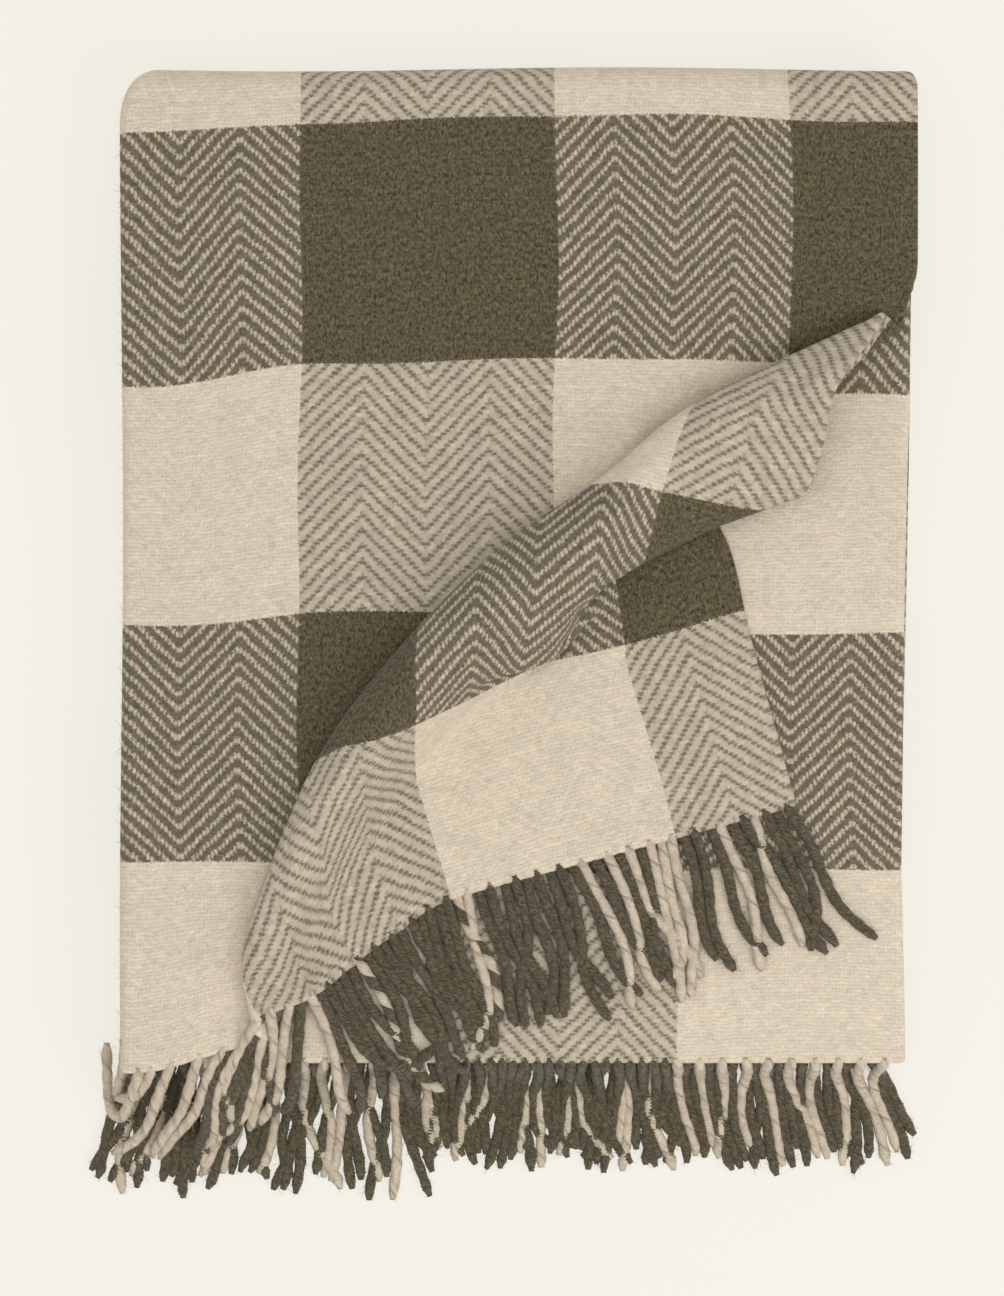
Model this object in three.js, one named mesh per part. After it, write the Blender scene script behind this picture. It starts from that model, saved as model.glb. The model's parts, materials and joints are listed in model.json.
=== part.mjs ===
// Folded wool throw blanket with a fringe at both ends. Millimetres, +X right, +Y towards the top fold, +Z up.
// The cloth is folded in thirds across its width, then in three zigzag panels along its length: nine layers.
// It is split where it is creased, because the panels turn about those creases.
import * as THREE from "three";

// Cloth and layers
const clothThickness = 4;
const layerPitch = 4.6;
const seam = 0.3;
const half = clothThickness / 2;

// Folded outline, before the part is centred
const leftFoldX = -210;
const rightFoldX = 210;
const topFoldY = 305;
const frontEdgeY = -223;
const bottomFoldY = -221;
const backLength = 430;

// How far each bend reaches past the flat panels
const sideBendReach = layerPitch + half;
const smallBendReach = layerPitch / 2 + half;
const endBendReach = 2.5 * layerPitch + half;
const leftX = leftFoldX + sideBendReach;
const rightX = rightFoldX - smallBendReach;
const topY = topFoldY - endBendReach;
const bottomY = bottomFoldY + endBendReach;
const backEndY = bottomY + backLength;
const arcSteps = 12;

// Fringe
const cordPitch = 12.5;
const cordWidth = 4.6;
const headingDepth = 4;
const cordLength = 73;
const cordLengthSwing = 5;
const leanSwing = 2;

// Pulled-back corner of the top layer: its ridge runs from the right selvedge to the front edge.
// Each row is one section across the ridge: where its crest stands, where it lands on the flap, and its height.
const ridgeSections = [
  { crest: [196, 172], landing: [130, 58], height: 24 },
  { crest: [140, 149], landing: [104, 44], height: 32 },
  { crest: [98, 127], landing: [76, 30], height: 36 },
  { crest: [45, 85], landing: [46, 10], height: 38 },
  { crest: [-8, 48], landing: [8, -20], height: 38 },
  { crest: [-61, -5], landing: [-28, -58], height: 34 },
  { crest: [-109, -72], landing: [-66, -108], height: 28 },
  { crest: [-139, -140], landing: [-98, -156], height: 20 },
  { crest: [-137, -198], landing: [-111, -184], height: 13 },
];
const ridgeStations = 32;
const ridgeProfileSteps = 30;
// Shares of the section's width and height, from the flat layer, under the crest, back to it and over to the flap
const ridgeProfile = [
  [0, 0],
  [0.35, 0],
  [0.6, 0.02],
  [0.7, 0.18],
  [0.58, 0.36],
  [0.3, 0.38],
  [0.06, 0.45],
  [0.02, 0.66],
  [0.14, 0.88],
  [0.36, 1],
  [0.6, 0.86],
  [0.77, 0.42],
  [0.86, 0.1],
  [0.93, 0.01],
  [1, 0],
];
const flapSelvedge = [
  [123, 18],
  [130, -20],
];
const flapFringeEdge = [
  [150, -91],
  [116, -95],
  [79, -107],
  [45, -116],
  [-8, -131],
  [-40, -138],
  [-72, -159],
  [-93, -179],
  [-112, -193],
];
const flatFringeEndX = -137;

// Colours
const creamWool = new THREE.MeshStandardMaterial({ color: 0xd8ccb4, roughness: 0.95, metalness: 0 });
const oliveWool = new THREE.MeshStandardMaterial({ color: 0x55503a, roughness: 0.95, metalness: 0 });
const checkedWool = new THREE.MeshStandardMaterial({ color: 0x968e77, roughness: 0.95, metalness: 0 });

const throwBlanket = new THREE.Group();
throwBlanket.name = "folded_throw_blanket";

function add(name, geometry, material) {
  const mesh = new THREE.Mesh(geometry, material);
  mesh.name = name;
  throwBlanket.add(mesh);
}

function layerBottom(layer) {
  return layer * layerPitch;
}

function extruded(outline, depth) {
  const shape = new THREE.Shape(outline.map(([x, y]) => new THREE.Vector2(x, y)));
  return new THREE.ExtrudeGeometry(shape, { depth, bevelEnabled: false, steps: 1 });
}

// A flat piece of cloth with this outline, in one layer of the stack
function clothPiece(name, outline, layer, material) {
  const geometry = extruded(outline, clothThickness);
  geometry.translate(0, 0, layerBottom(layer));
  add(name, geometry, material);
}

function rectangle(x0, y0, x1, y1) {
  return [
    [x0, y0],
    [x1, y0],
    [x1, y1],
    [x0, y1],
  ];
}

// Outline of a half ring on the +X side of the origin
function halfRing(radius) {
  const outline = [];
  for (let i = 0; i <= arcSteps; i += 1) {
    const angle = -Math.PI / 2 + (Math.PI * i) / arcSteps;
    outline.push([(radius + half) * Math.cos(angle), (radius + half) * Math.sin(angle)]);
  }
  for (let i = arcSteps; i >= 0; i -= 1) {
    const angle = -Math.PI / 2 + (Math.PI * i) / arcSteps;
    outline.push([(radius - half) * Math.cos(angle), (radius - half) * Math.sin(angle)]);
  }
  return outline;
}

// Cloth bent from one layer to another about the X axis, at the top fold (side 1) or the bottom fold (side -1)
function endBend(name, x0, x1, lowerLayer, upperLayer, side, material) {
  const radius = ((upperLayer - lowerLayer) * layerPitch) / 2;
  const geometry = extruded(halfRing(radius), x1 - x0);
  geometry.rotateX(Math.PI / 2);
  geometry.rotateZ(Math.PI / 2);
  if (side < 0) {
    geometry.rotateZ(Math.PI);
    geometry.translate(x1, bottomY - seam, 0);
  } else {
    geometry.translate(x0, topY + seam, 0);
  }
  geometry.translate(0, 0, layerBottom(lowerLayer) + radius + half);
  add(name, geometry, material);
}

// Cloth bent from one layer to another about the Y axis, at the left fold (side -1) or the right fold (side 1)
function sideBend(name, y0, y1, lowerLayer, upperLayer, side, material) {
  const radius = ((upperLayer - lowerLayer) * layerPitch) / 2;
  const geometry = extruded(halfRing(radius), y1 - y0);
  geometry.rotateX(Math.PI / 2);
  if (side < 0) {
    geometry.rotateZ(Math.PI);
    geometry.translate(leftX - seam, y0, 0);
  } else {
    geometry.translate(rightX + seam, y1, 0);
  }
  geometry.translate(0, 0, layerBottom(lowerLayer) + radius + half);
  add(name, geometry, material);
}

// Twisted cords joined by a narrow heading that follows the cloth's end. The edge runs from +X to -X for cords
// that point towards -Y, and from -X to +X for cords that point towards +Y. Pointing is their direction in degrees.
function fringe(name, edge, pointing, layer, material) {
  const path = new THREE.CurvePath();
  for (let i = 1; i < edge.length; i += 1) {
    path.add(new THREE.LineCurve(new THREE.Vector2(...edge[i - 1]), new THREE.Vector2(...edge[i])));
  }
  const length = path.getLength();
  const count = Math.floor(length / cordPitch);
  const along = (distance) => path.getPointAt(Math.min(1, Math.max(0, distance / length)));
  const outward = new THREE.Vector2(Math.cos((pointing * Math.PI) / 180), Math.sin((pointing * Math.PI) / 180));
  const top = [];
  const lower = [];
  for (const [x, y] of edge) {
    top.push([x + outward.x * seam, y + outward.y * seam]);
  }
  const first = along(0).addScaledVector(outward, headingDepth);
  lower.push([first.x, first.y]);
  for (let i = 0; i < count; i += 1) {
    const middle = (length * (i + 0.5)) / count;
    const lean = pointing + leanSwing * Math.sin(i * 0.9);
    const reach = cordLength + cordLengthSwing * Math.sin(i * 2.3);
    const direction = new THREE.Vector2(Math.cos((lean * Math.PI) / 180), Math.sin((lean * Math.PI) / 180));
    const before = along(middle - cordWidth / 2).addScaledVector(outward, headingDepth);
    const after = along(middle + cordWidth / 2).addScaledVector(outward, headingDepth);
    lower.push([before.x, before.y]);
    lower.push([before.x + direction.x * reach, before.y + direction.y * reach]);
    lower.push([after.x + direction.x * reach, after.y + direction.y * reach]);
    lower.push([after.x, after.y]);
  }
  const last = along(length).addScaledVector(outward, headingDepth);
  lower.push([last.x, last.y]);
  clothPiece(name, [...top, ...lower.reverse()], layer, material);
}

// Points on the ridge's crest or landing line
function ridgeLine(key) {
  return new THREE.CatmullRomCurve3(ridgeSections.map((row) => new THREE.Vector3(...row[key], row.height)));
}

// The standing roll of cloth: one bent sheet of even thickness through sections from its crest to its landing
function ridgeGeometry(layer) {
  const crest = ridgeLine("crest");
  const landing = ridgeLine("landing");
  const profile = new THREE.CatmullRomCurve3(ridgeProfile.map(([s, h]) => new THREE.Vector3(s, h, 0)));
  const positions = [];
  const middleZ = layerBottom(layer) + half;
  for (let i = 0; i <= ridgeStations; i += 1) {
    const t = i / ridgeStations;
    const start = crest.getPoint(t);
    const end = landing.getPoint(t);
    const height = start.z;
    const across = new THREE.Vector2(end.x - start.x, end.y - start.y);
    const width = across.length() - 2 * seam;
    across.normalize();
    for (let j = 0; j <= ridgeProfileSteps; j += 1) {
      const at = profile.getPoint(j / ridgeProfileSteps);
      const tangent = profile.getTangent(j / ridgeProfileSteps);
      const slope = new THREE.Vector2(tangent.x * width, tangent.y * height).normalize();
      for (const side of [1, -1]) {
        const s = seam + at.x * width - slope.y * half * side;
        const z = middleZ + Math.max(0, at.y) * height + slope.x * half * side;
        positions.push(start.x + across.x * s, start.y + across.y * s, z);
      }
    }
  }
  const row = 2 * (ridgeProfileSteps + 1);
  const corner = (i, j, side) => i * row + 2 * j + side;
  const faces = [];
  const quad = (a, b, c, d) => faces.push(a, b, c, a, c, d);
  for (let i = 0; i < ridgeStations; i += 1) {
    for (let j = 0; j < ridgeProfileSteps; j += 1) {
      quad(corner(i, j, 0), corner(i + 1, j, 0), corner(i + 1, j + 1, 0), corner(i, j + 1, 0));
      quad(corner(i, j, 1), corner(i, j + 1, 1), corner(i + 1, j + 1, 1), corner(i + 1, j, 1));
    }
    const end = ridgeProfileSteps;
    quad(corner(i, 0, 0), corner(i, 0, 1), corner(i + 1, 0, 1), corner(i + 1, 0, 0));
    quad(corner(i, end, 0), corner(i + 1, end, 0), corner(i + 1, end, 1), corner(i, end, 1));
  }
  for (let j = 0; j < ridgeProfileSteps; j += 1) {
    const end = ridgeStations;
    quad(corner(0, j, 0), corner(0, j + 1, 0), corner(0, j + 1, 1), corner(0, j, 1));
    quad(corner(end, j, 0), corner(end, j, 1), corner(end, j + 1, 1), corner(end, j + 1, 0));
  }
  const geometry = new THREE.BufferGeometry();
  geometry.setAttribute("position", new THREE.Float32BufferAttribute(positions, 3));
  geometry.setIndex(faces);
  geometry.computeVertexNormals();
  return geometry;
}

// Points along a ridge line from the right, moved by a distance away from the ridge
function ridgeEdge(key, gap) {
  const crest = ridgeLine("crest");
  const landing = ridgeLine("landing");
  const points = [];
  for (let i = 0; i <= ridgeStations; i += 1) {
    const t = i / ridgeStations;
    const start = crest.getPoint(t);
    const end = landing.getPoint(t);
    const across = new THREE.Vector2(end.x - start.x, end.y - start.y).normalize();
    const from = key === "crest" ? start : end;
    points.push([from.x + across.x * gap, from.y + across.y * gap]);
  }
  return points;
}

// Front panel: the top layer with its pulled-back corner, then the inner layer, then the outer-left layer
const topLayer = 8;
const crestEdge = ridgeEdge("crest", -seam);
const landingEdge = ridgeEdge("landing", seam);
clothPiece(
  "front_top_layer",
  [
    [leftX, topY],
    [leftX, frontEdgeY],
    [flatFringeEndX, frontEdgeY],
    ...[...crestEdge].reverse(),
    [rightFoldX, crestEdge[0][1] + 10],
    [rightFoldX, topY],
  ],
  topLayer,
  checkedWool,
);
add("front_corner_ridge", ridgeGeometry(topLayer), checkedWool);
clothPiece(
  "front_corner_flap",
  [...landingEdge, ...[...flapFringeEdge].reverse(), ...[...flapSelvedge].reverse()],
  topLayer,
  checkedWool,
);
fringe(
  "front_top_layer_fringe",
  [
    [flatFringeEndX, frontEdgeY],
    [leftX, frontEdgeY],
  ],
  262,
  topLayer,
  creamWool,
);
fringe("front_corner_flap_fringe", flapFringeEdge, 278, topLayer, oliveWool);
clothPiece("front_inner_layer", rectangle(leftX + seam, frontEdgeY, rightX, topY), 7, checkedWool);
clothPiece("front_lower_layer", rectangle(leftX, frontEdgeY, rightX, topY), 6, checkedWool);
sideBend("front_left_fold", frontEdgeY, topY, 6, 8, -1, creamWool);
sideBend("front_right_fold", frontEdgeY, topY, 6, 7, 1, oliveWool);
const frontEnd = [
  [rightX, frontEdgeY],
  [leftX, frontEdgeY],
];
fringe("front_inner_layer_fringe", frontEnd, 272, 7, creamWool);
fringe("front_lower_layer_fringe", frontEnd, 270, 6, oliveWool);

// Top fold: the three layers of the front panel turn under, nested, into the middle panel
endBend("top_fold_inner", leftX, rightX, 5, 6, 1, checkedWool);
endBend("top_fold_middle", leftX, rightX, 4, 7, 1, checkedWool);
endBend("top_fold_outer", leftFoldX, rightFoldX, 3, 8, 1, checkedWool);

// Middle panel, upside down, so the same three layers lie in the opposite order
const middlePanel = rectangle(leftX + seam, bottomY, rightX, topY);
clothPiece("middle_top_layer", middlePanel, 5, checkedWool);
clothPiece("middle_inner_layer", middlePanel, 4, checkedWool);
clothPiece("middle_lower_layer", middlePanel, 3, checkedWool);
sideBend("middle_left_fold", bottomY, topY, 3, 5, -1, creamWool);
sideBend("middle_right_fold", bottomY, topY, 4, 5, 1, oliveWool);

// Bottom fold: nested the other way, into the back panel
endBend("bottom_fold_inner", leftX, rightX, 2, 3, -1, checkedWool);
endBend("bottom_fold_middle", leftX, rightX, 1, 4, -1, checkedWool);
endBend("bottom_fold_outer", leftFoldX, rightFoldX, 0, 5, -1, checkedWool);

// Back panel, which the stack rests on, with the fringe of the far end
const backPanel = rectangle(leftX + seam, bottomY, rightX, backEndY);
clothPiece("back_top_layer", backPanel, 2, checkedWool);
clothPiece("back_inner_layer", backPanel, 1, checkedWool);
clothPiece("back_lower_layer", backPanel, 0, checkedWool);
sideBend("back_left_fold", bottomY, backEndY, 0, 2, -1, creamWool);
sideBend("back_right_fold", bottomY, backEndY, 0, 1, 1, oliveWool);
const backEnd = [
  [leftX, backEndY],
  [rightX, backEndY],
];
fringe("back_top_layer_fringe", backEnd, 90, 2, creamWool);
fringe("back_inner_layer_fringe", backEnd, 90, 1, creamWool);
fringe("back_lower_layer_fringe", backEnd, 90, 0, oliveWool);

// The origin is the middle of the whole box, on the floor
const box = new THREE.Box3().setFromObject(throwBlanket);
const middle = box.getCenter(new THREE.Vector3());
for (const mesh of throwBlanket.children) {
  mesh.geometry.translate(-middle.x, -middle.y, -box.min.z);
}

export default throwBlanket;
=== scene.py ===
"""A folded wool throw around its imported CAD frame: the cloth, its folds, the raised corner and the fringe.

Everything is worked out in millimetres in the frame's axes and turned into metres when a mesh is made.
The cloth has its own coordinates: across is measured from the right-hand selvedge, along from the near end.
"""
import json
import math

import bpy
import numpy as np
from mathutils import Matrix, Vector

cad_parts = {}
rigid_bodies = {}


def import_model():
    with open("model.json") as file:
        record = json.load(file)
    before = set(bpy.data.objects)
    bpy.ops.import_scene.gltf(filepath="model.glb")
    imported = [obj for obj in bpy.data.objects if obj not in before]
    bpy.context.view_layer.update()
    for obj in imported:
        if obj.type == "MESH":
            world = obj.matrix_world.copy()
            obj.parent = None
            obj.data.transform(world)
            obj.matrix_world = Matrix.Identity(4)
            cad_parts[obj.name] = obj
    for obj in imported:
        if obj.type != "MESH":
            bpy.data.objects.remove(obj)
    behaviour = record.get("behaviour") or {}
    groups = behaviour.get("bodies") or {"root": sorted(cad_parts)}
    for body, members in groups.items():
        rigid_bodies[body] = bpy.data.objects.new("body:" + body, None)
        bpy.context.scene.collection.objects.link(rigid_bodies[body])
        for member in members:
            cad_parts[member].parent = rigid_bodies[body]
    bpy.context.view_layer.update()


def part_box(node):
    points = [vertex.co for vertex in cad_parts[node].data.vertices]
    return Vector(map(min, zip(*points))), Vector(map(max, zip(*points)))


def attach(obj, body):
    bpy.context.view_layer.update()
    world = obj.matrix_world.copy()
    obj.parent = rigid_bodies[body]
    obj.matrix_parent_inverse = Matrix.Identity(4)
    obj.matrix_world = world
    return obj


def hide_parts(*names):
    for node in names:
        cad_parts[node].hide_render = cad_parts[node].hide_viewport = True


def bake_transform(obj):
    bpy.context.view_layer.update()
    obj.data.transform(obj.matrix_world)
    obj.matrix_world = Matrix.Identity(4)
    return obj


for leftover in list(bpy.data.objects):
    bpy.data.objects.remove(leftover)
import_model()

METRES = 0.001
rng = np.random.default_rng(7)


def box_mm(node):
    """Lowest and highest corner of a CAD node, in millimetres."""
    low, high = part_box(node)
    return np.array(low) / METRES, np.array(high) / METRES


def middle_height(node):
    """Height of the middle of a flat CAD layer."""
    low, high = box_mm(node)
    return (low[2] + high[2]) / 2


# ---------------------------------------------------------------- sizes from the frame
top_low, top_high = box_mm("front_top_layer")
HALF_CLOTH = (top_high[2] - top_low[2]) / 2
TOP_LEVEL = middle_height("front_top_layer")
PITCH = TOP_LEVEL - middle_height("front_inner_layer")
RIGHT_EDGE = top_high[0]
NEAR_EDGE = top_low[1]
LEFT_BEND = box_mm("front_left_fold")[1][0]
RIGHT_BEND = box_mm("front_right_fold")[0][0]
OUTER_LEFT = box_mm("front_left_fold")[0][0]
TOP_CREASE = top_high[1]
TOP_AXIS = middle_height("top_fold_outer")
TOP_REACH = box_mm("top_fold_outer")[1][1]
BOTTOM_CREASE = box_mm("middle_top_layer")[0][1]
BOTTOM_AXIS = middle_height("bottom_fold_outer")
BACK_END = box_mm("back_top_layer")[1][1]

FRONT_LEVELS = [middle_height(f"front_{name}_layer") for name in ("top", "inner", "lower")]
MIDDLE_LEVELS = [middle_height(f"middle_{name}_layer") for name in ("lower", "inner", "top")]
BACK_LEVELS = [middle_height(f"back_{name}_layer") for name in ("top", "inner", "lower")]

# ---------------------------------------------------------------- the cloth's check
# Places where one check ends and the next begins. Evenly spaced past the ends of these lists.
ACROSS_EDGES = [0, 66, 190, 325, 453]
ALONG_EDGES = [-25, 106, 238.5, 371, 499.5]
CHECK_ACROSS = 128
CHECK_ALONG = 131
THREADS_PER_CHECK = 64
THREADS_PER_BAND = 16


def checks_across(across):
    """Check count across the cloth. The first check at the selvedge is a half one."""
    counts = [0.5, 1, 2, 3, 4]
    beyond = 4 + (across - ACROSS_EDGES[-1]) / CHECK_ACROSS
    return np.where(across < ACROSS_EDGES[-1], np.interp(across, ACROSS_EDGES, counts), beyond)


def checks_along(along):
    """Check count along the cloth."""
    beyond = 4 + (along - ALONG_EDGES[-1]) / CHECK_ALONG
    return np.where(along < ALONG_EDGES[-1], np.interp(along, ALONG_EDGES, range(5)), beyond)


def ease(t):
    """Smooth step from 0 to 1."""
    t = np.clip(t, 0, 1)
    return t * t * (3 - 2 * t)


def pattern_shift(x, y):
    """How far the pattern sags towards the near end along the left side."""
    depth = np.interp(y, [NEAR_EDGE, -115, 15, 142, TOP_CREASE], [0, 0, 8, 13, 6])
    return depth * ease((-100 - x) / 100)


def weave_coordinates(across, along, x, y):
    """Check coordinates of cloth points, with the small unevenness of hand-folded wool."""
    sway = 1.4 * np.sin(along / 61 + 0.7) + 0.8 * np.sin(along / 23 + across / 90)
    lift = 1.3 * np.sin(across / 57 + 1.9) + 0.7 * np.sin(across / 21 - along / 70)
    fade = ease(across / 60)
    shifted = along + lift + pattern_shift(x, y)
    return np.stack([checks_across(across + sway * fade), checks_along(shifted)], -1)


# ---------------------------------------------------------------- how the stack lies
# The stack's corners in plan: how far each is rounded by the side of x and of y, how much longer the rounding
# is along y, and over how many radii it fades towards the middle.
CORNER_RADII = {(-1, 1): 22, (1, 1): 7, (-1, -1): 9, (1, -1): 7}
CORNER_HEIGHT = 1.4
CORNER_FADE = 4
# Heights of the slow waves in the far edge, in the upper layers (a long and a short one) and in the sides.
FAR_EDGE_WAVE = 1.1
LONG_WAVE = 0.65
SHORT_WAVE = 0.4
SIDE_WAVE = 0.9
BEND_STEPS = 12


def settle(points):
    """Rounds the stack's corners in plan and gives its layers a shared, soft unevenness."""
    points = np.array(points, float)
    x, y, z = points[..., 0], points[..., 1], points[..., 2]
    low_y = BOTTOM_CREASE - BOTTOM_AXIS
    for (side, end), radius in CORNER_RADII.items():
        reach_x = -OUTER_LEFT if side < 0 else RIGHT_EDGE
        reach_y = TOP_REACH if end > 0 else -low_y
        height = CORNER_HEIGHT * radius
        over_y = np.clip(end * y - (reach_y - height), 0, height)
        if end < 0:
            over_y = over_y * (z < FRONT_LEVELS[2] - PITCH / 2)
        inset = radius * (1 - np.sqrt(1 - (over_y / height) ** 2))
        x = x - side * inset * ease(1 - (reach_x - side * x) / (CORNER_FADE * radius))
    y = y + FAR_EDGE_WAVE * np.sin(x / 55 + 0.6) * ease((y - 230) / 60)
    unevenness = LONG_WAVE * np.sin(x / 47 + 1) * np.sin(y / 63) + SHORT_WAVE * np.sin(x / 29 + y / 37)
    z = z + unevenness * np.maximum(z - FRONT_LEVELS[2], 0) / (TOP_LEVEL - FRONT_LEVELS[2])
    x = x + SIDE_WAVE * np.sin(y / 71 + z / 9) * x / RIGHT_EDGE
    return np.stack([x, y, z], -1)


def right_scale(y):
    """How far the layers under the top one reach to the right, as a share of the top layer's reach."""
    return np.interp(y, [NEAR_EDGE, -122, 0, 127], [206.4, 203.8, 206.4, 210]) / 210


def drawn_in(points):
    """Points of the layers under the top one, pulled in on the right-hand side."""
    scale = np.where(points[..., 0] > 0, right_scale(points[..., 1]), 1)
    return points * np.stack([scale, np.ones_like(scale), np.ones_like(scale)], -1)


def running_total(steps):
    """Distance from the start after each step, with the start itself."""
    return np.concatenate([[0], np.cumsum(steps)])


def letter_path(levels, step):
    """Section across a panel: top layer, left bend, lower layer, right bend and inner layer.

    Returns x, z, distance across the cloth, and the index where the left bend ends.
    """
    upper, inner, lower = levels
    turns = np.linspace(0, math.pi, BEND_STEPS + 1)

    def run(start, end):
        return np.linspace(start, end, max(2, int(abs(end - start) / step)))

    def bend(bend_x, side, start, end):
        radius = (start - end) / 2
        x = bend_x + side * abs(radius) * np.sin(turns)
        return x, (start + end) / 2 + radius * np.cos(turns)

    top_x = run(RIGHT_EDGE, LEFT_BEND)
    left_x, left_z = bend(LEFT_BEND, -1, upper, lower)
    low_x = run(LEFT_BEND, RIGHT_BEND)
    right_x, right_z = bend(RIGHT_BEND, 1, lower, inner)
    in_x = run(RIGHT_BEND, LEFT_BEND)
    x = np.concatenate([top_x, left_x[1:], low_x[1:], right_x[1:], in_x[1:]])
    flat = [np.full(len(top_x), upper), left_z[1:], np.full(len(low_x) - 1, lower)]
    z = np.concatenate([*flat, right_z[1:], np.full(len(in_x) - 1, inner)])
    return x, z, running_total(np.hypot(np.diff(x), np.diff(z))), len(top_x) + len(left_x) - 1


# ---------------------------------------------------------------- meshes
def catmull(points, count):
    """Catmull-Rom curve through points (first axis), with count steps per span."""
    points = np.asarray(points, float)
    padded = np.concatenate([[2 * points[0] - points[1]], points, [2 * points[-1] - points[-2]]])
    t = np.linspace(0, 1, count, endpoint=False).reshape([-1] + [1] * (points.ndim - 1))
    spans = []
    for i in range(len(points) - 1):
        a, b, c, d = padded[i:i + 4]
        spans.append(0.5 * (2 * b + (c - a) * t + (2 * a - 5 * b + 4 * c - d) * t ** 2
                            + (3 * b - a - 3 * c + d) * t ** 3))
    return np.concatenate([*spans, points[-1:]])


def path_run(path):
    """Distance along a path at each of its points."""
    return running_total(np.linalg.norm(np.diff(path, axis=0), axis=1))


def size_of(vectors, least=1e-6):
    """Length of each vector, and never less than a small one."""
    return np.maximum(np.linalg.norm(vectors, axis=-1, keepdims=True), least)


def unit(vectors):
    """Vectors scaled to length one."""
    return vectors / size_of(vectors, 1e-9)


def grid_normals(points):
    """Upward directions of a grid of points."""
    return unit(np.cross(np.gradient(points, axis=0), np.gradient(points, axis=1)))


def build_mesh(name, verts, quads, uvs, materials, material_index=None, smooth=True):
    """Makes an object from arrays: verts in millimetres, quads by vertex, one uv per vertex."""
    mesh = bpy.data.meshes.new(name)
    mesh.vertices.add(len(verts))
    mesh.vertices.foreach_set("co", (verts * METRES).astype(np.float32).ravel())
    mesh.loops.add(quads.size)
    mesh.loops.foreach_set("vertex_index", quads.astype(np.int32).ravel())
    mesh.polygons.add(len(quads))
    mesh.polygons.foreach_set("loop_start", np.arange(0, quads.size, 4, dtype=np.int32))
    mesh.polygons.foreach_set("use_smooth", np.full(len(quads), smooth))
    for material in materials:
        mesh.materials.append(material)
    if material_index is not None:
        mesh.polygons.foreach_set("material_index", material_index.astype(np.int32))
    layer = mesh.uv_layers.new(name="cloth")
    layer.data.foreach_set("uv", uvs[quads.ravel()].astype(np.float32).ravel())
    mesh.update(calc_edges=True)
    mesh.validate()
    obj = bpy.data.objects.new(name, mesh)
    bpy.context.scene.collection.objects.link(obj)
    return obj


RIM_ANGLES = np.radians([45, 90, 135])
SLIVER = 0.03


def with_slivers(rows, rounded):
    """Adds a very narrow row at each cut end, so that the cut doesn't tilt the shading beside it."""
    if "near" not in rounded:
        rows = np.concatenate([rows[:1], rows[:1] + SLIVER * (rows[1:2] - rows[:1]), rows[1:]])
    if "far" not in rounded:
        rows = np.concatenate([rows[:-1], rows[-1:] + SLIVER * (rows[-2:-1] - rows[-1:]), rows[-1:]])
    return rows


def cloth_sheet(name, points, uvs, rounded):
    """A closed sheet of cloth from its middle surface: rows along the cloth, columns across it.

    rounded names the ends with a free, rounded edge: "near", "far", "first", "last".
    """
    points, uvs = with_slivers(points, rounded), with_slivers(uvs, rounded)
    rows, cols = points.shape[:2]
    outward = np.zeros_like(points)
    sides = {
        "near": (np.s_[0, :], points[0] - points[1]),
        "far": (np.s_[-1, :], points[-1] - points[-2]),
        "first": (np.s_[:, 0], points[:, 0] - points[:, 1]),
        "last": (np.s_[:, -1], points[:, -1] - points[:, -2]),
    }
    for side in rounded:
        where, direction = sides[side]
        outward[where] += unit(direction)
    outward = unit(outward) * (np.linalg.norm(outward, axis=-1, keepdims=True) > 0.1)
    index = np.arange(rows * cols).reshape(rows, cols)
    loop = np.concatenate([index[0, :-1], index[:-1, -1], index[-1, :0:-1], index[:0:-1, 0]])
    flat_points, flat_normals = points.reshape(-1, 3), grid_normals(points).reshape(-1, 3)
    flat_uvs, flat_outward = uvs.reshape(-1, 2), outward.reshape(-1, 3)
    top = flat_points + HALF_CLOTH * flat_normals
    bottom = flat_points - HALF_CLOTH * flat_normals
    rings = []
    for angle in RIM_ANGLES:
        along_normal = math.cos(angle) * flat_normals[loop]
        rings.append(flat_points[loop] + HALF_CLOTH * (along_normal + math.sin(angle) * flat_outward[loop]))
    verts = np.concatenate([top, bottom, *rings])
    all_uvs = np.concatenate([flat_uvs, flat_uvs] + [flat_uvs[loop]] * len(rings))
    corners = [index[:-1, :-1], index[1:, :-1], index[1:, 1:], index[:-1, 1:]]
    top_quads = np.stack(corners, -1).reshape(-1, 4)
    count = rows * cols
    ring_ids = [loop]
    ring_ids += [2 * count + k * len(loop) + np.arange(len(loop)) for k in range(len(rings))]
    ring_ids.append(loop + count)
    rim_quads = []
    for upper, lower in zip(ring_ids, ring_ids[1:]):
        rim_quads.append(np.stack([upper, np.roll(upper, -1), np.roll(lower, -1), lower], -1))
    is_round = np.linalg.norm(flat_outward[loop], axis=1) > 0
    soft_rim = np.tile(is_round & np.roll(is_round, -1), len(rim_quads))
    smooth = np.concatenate([np.ones(2 * len(top_quads), bool), soft_rim])
    quads = np.concatenate([top_quads, top_quads[:, ::-1] + count, *rim_quads])
    return build_mesh(name, verts, quads, all_uvs, [checked], smooth=smooth)


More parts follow.
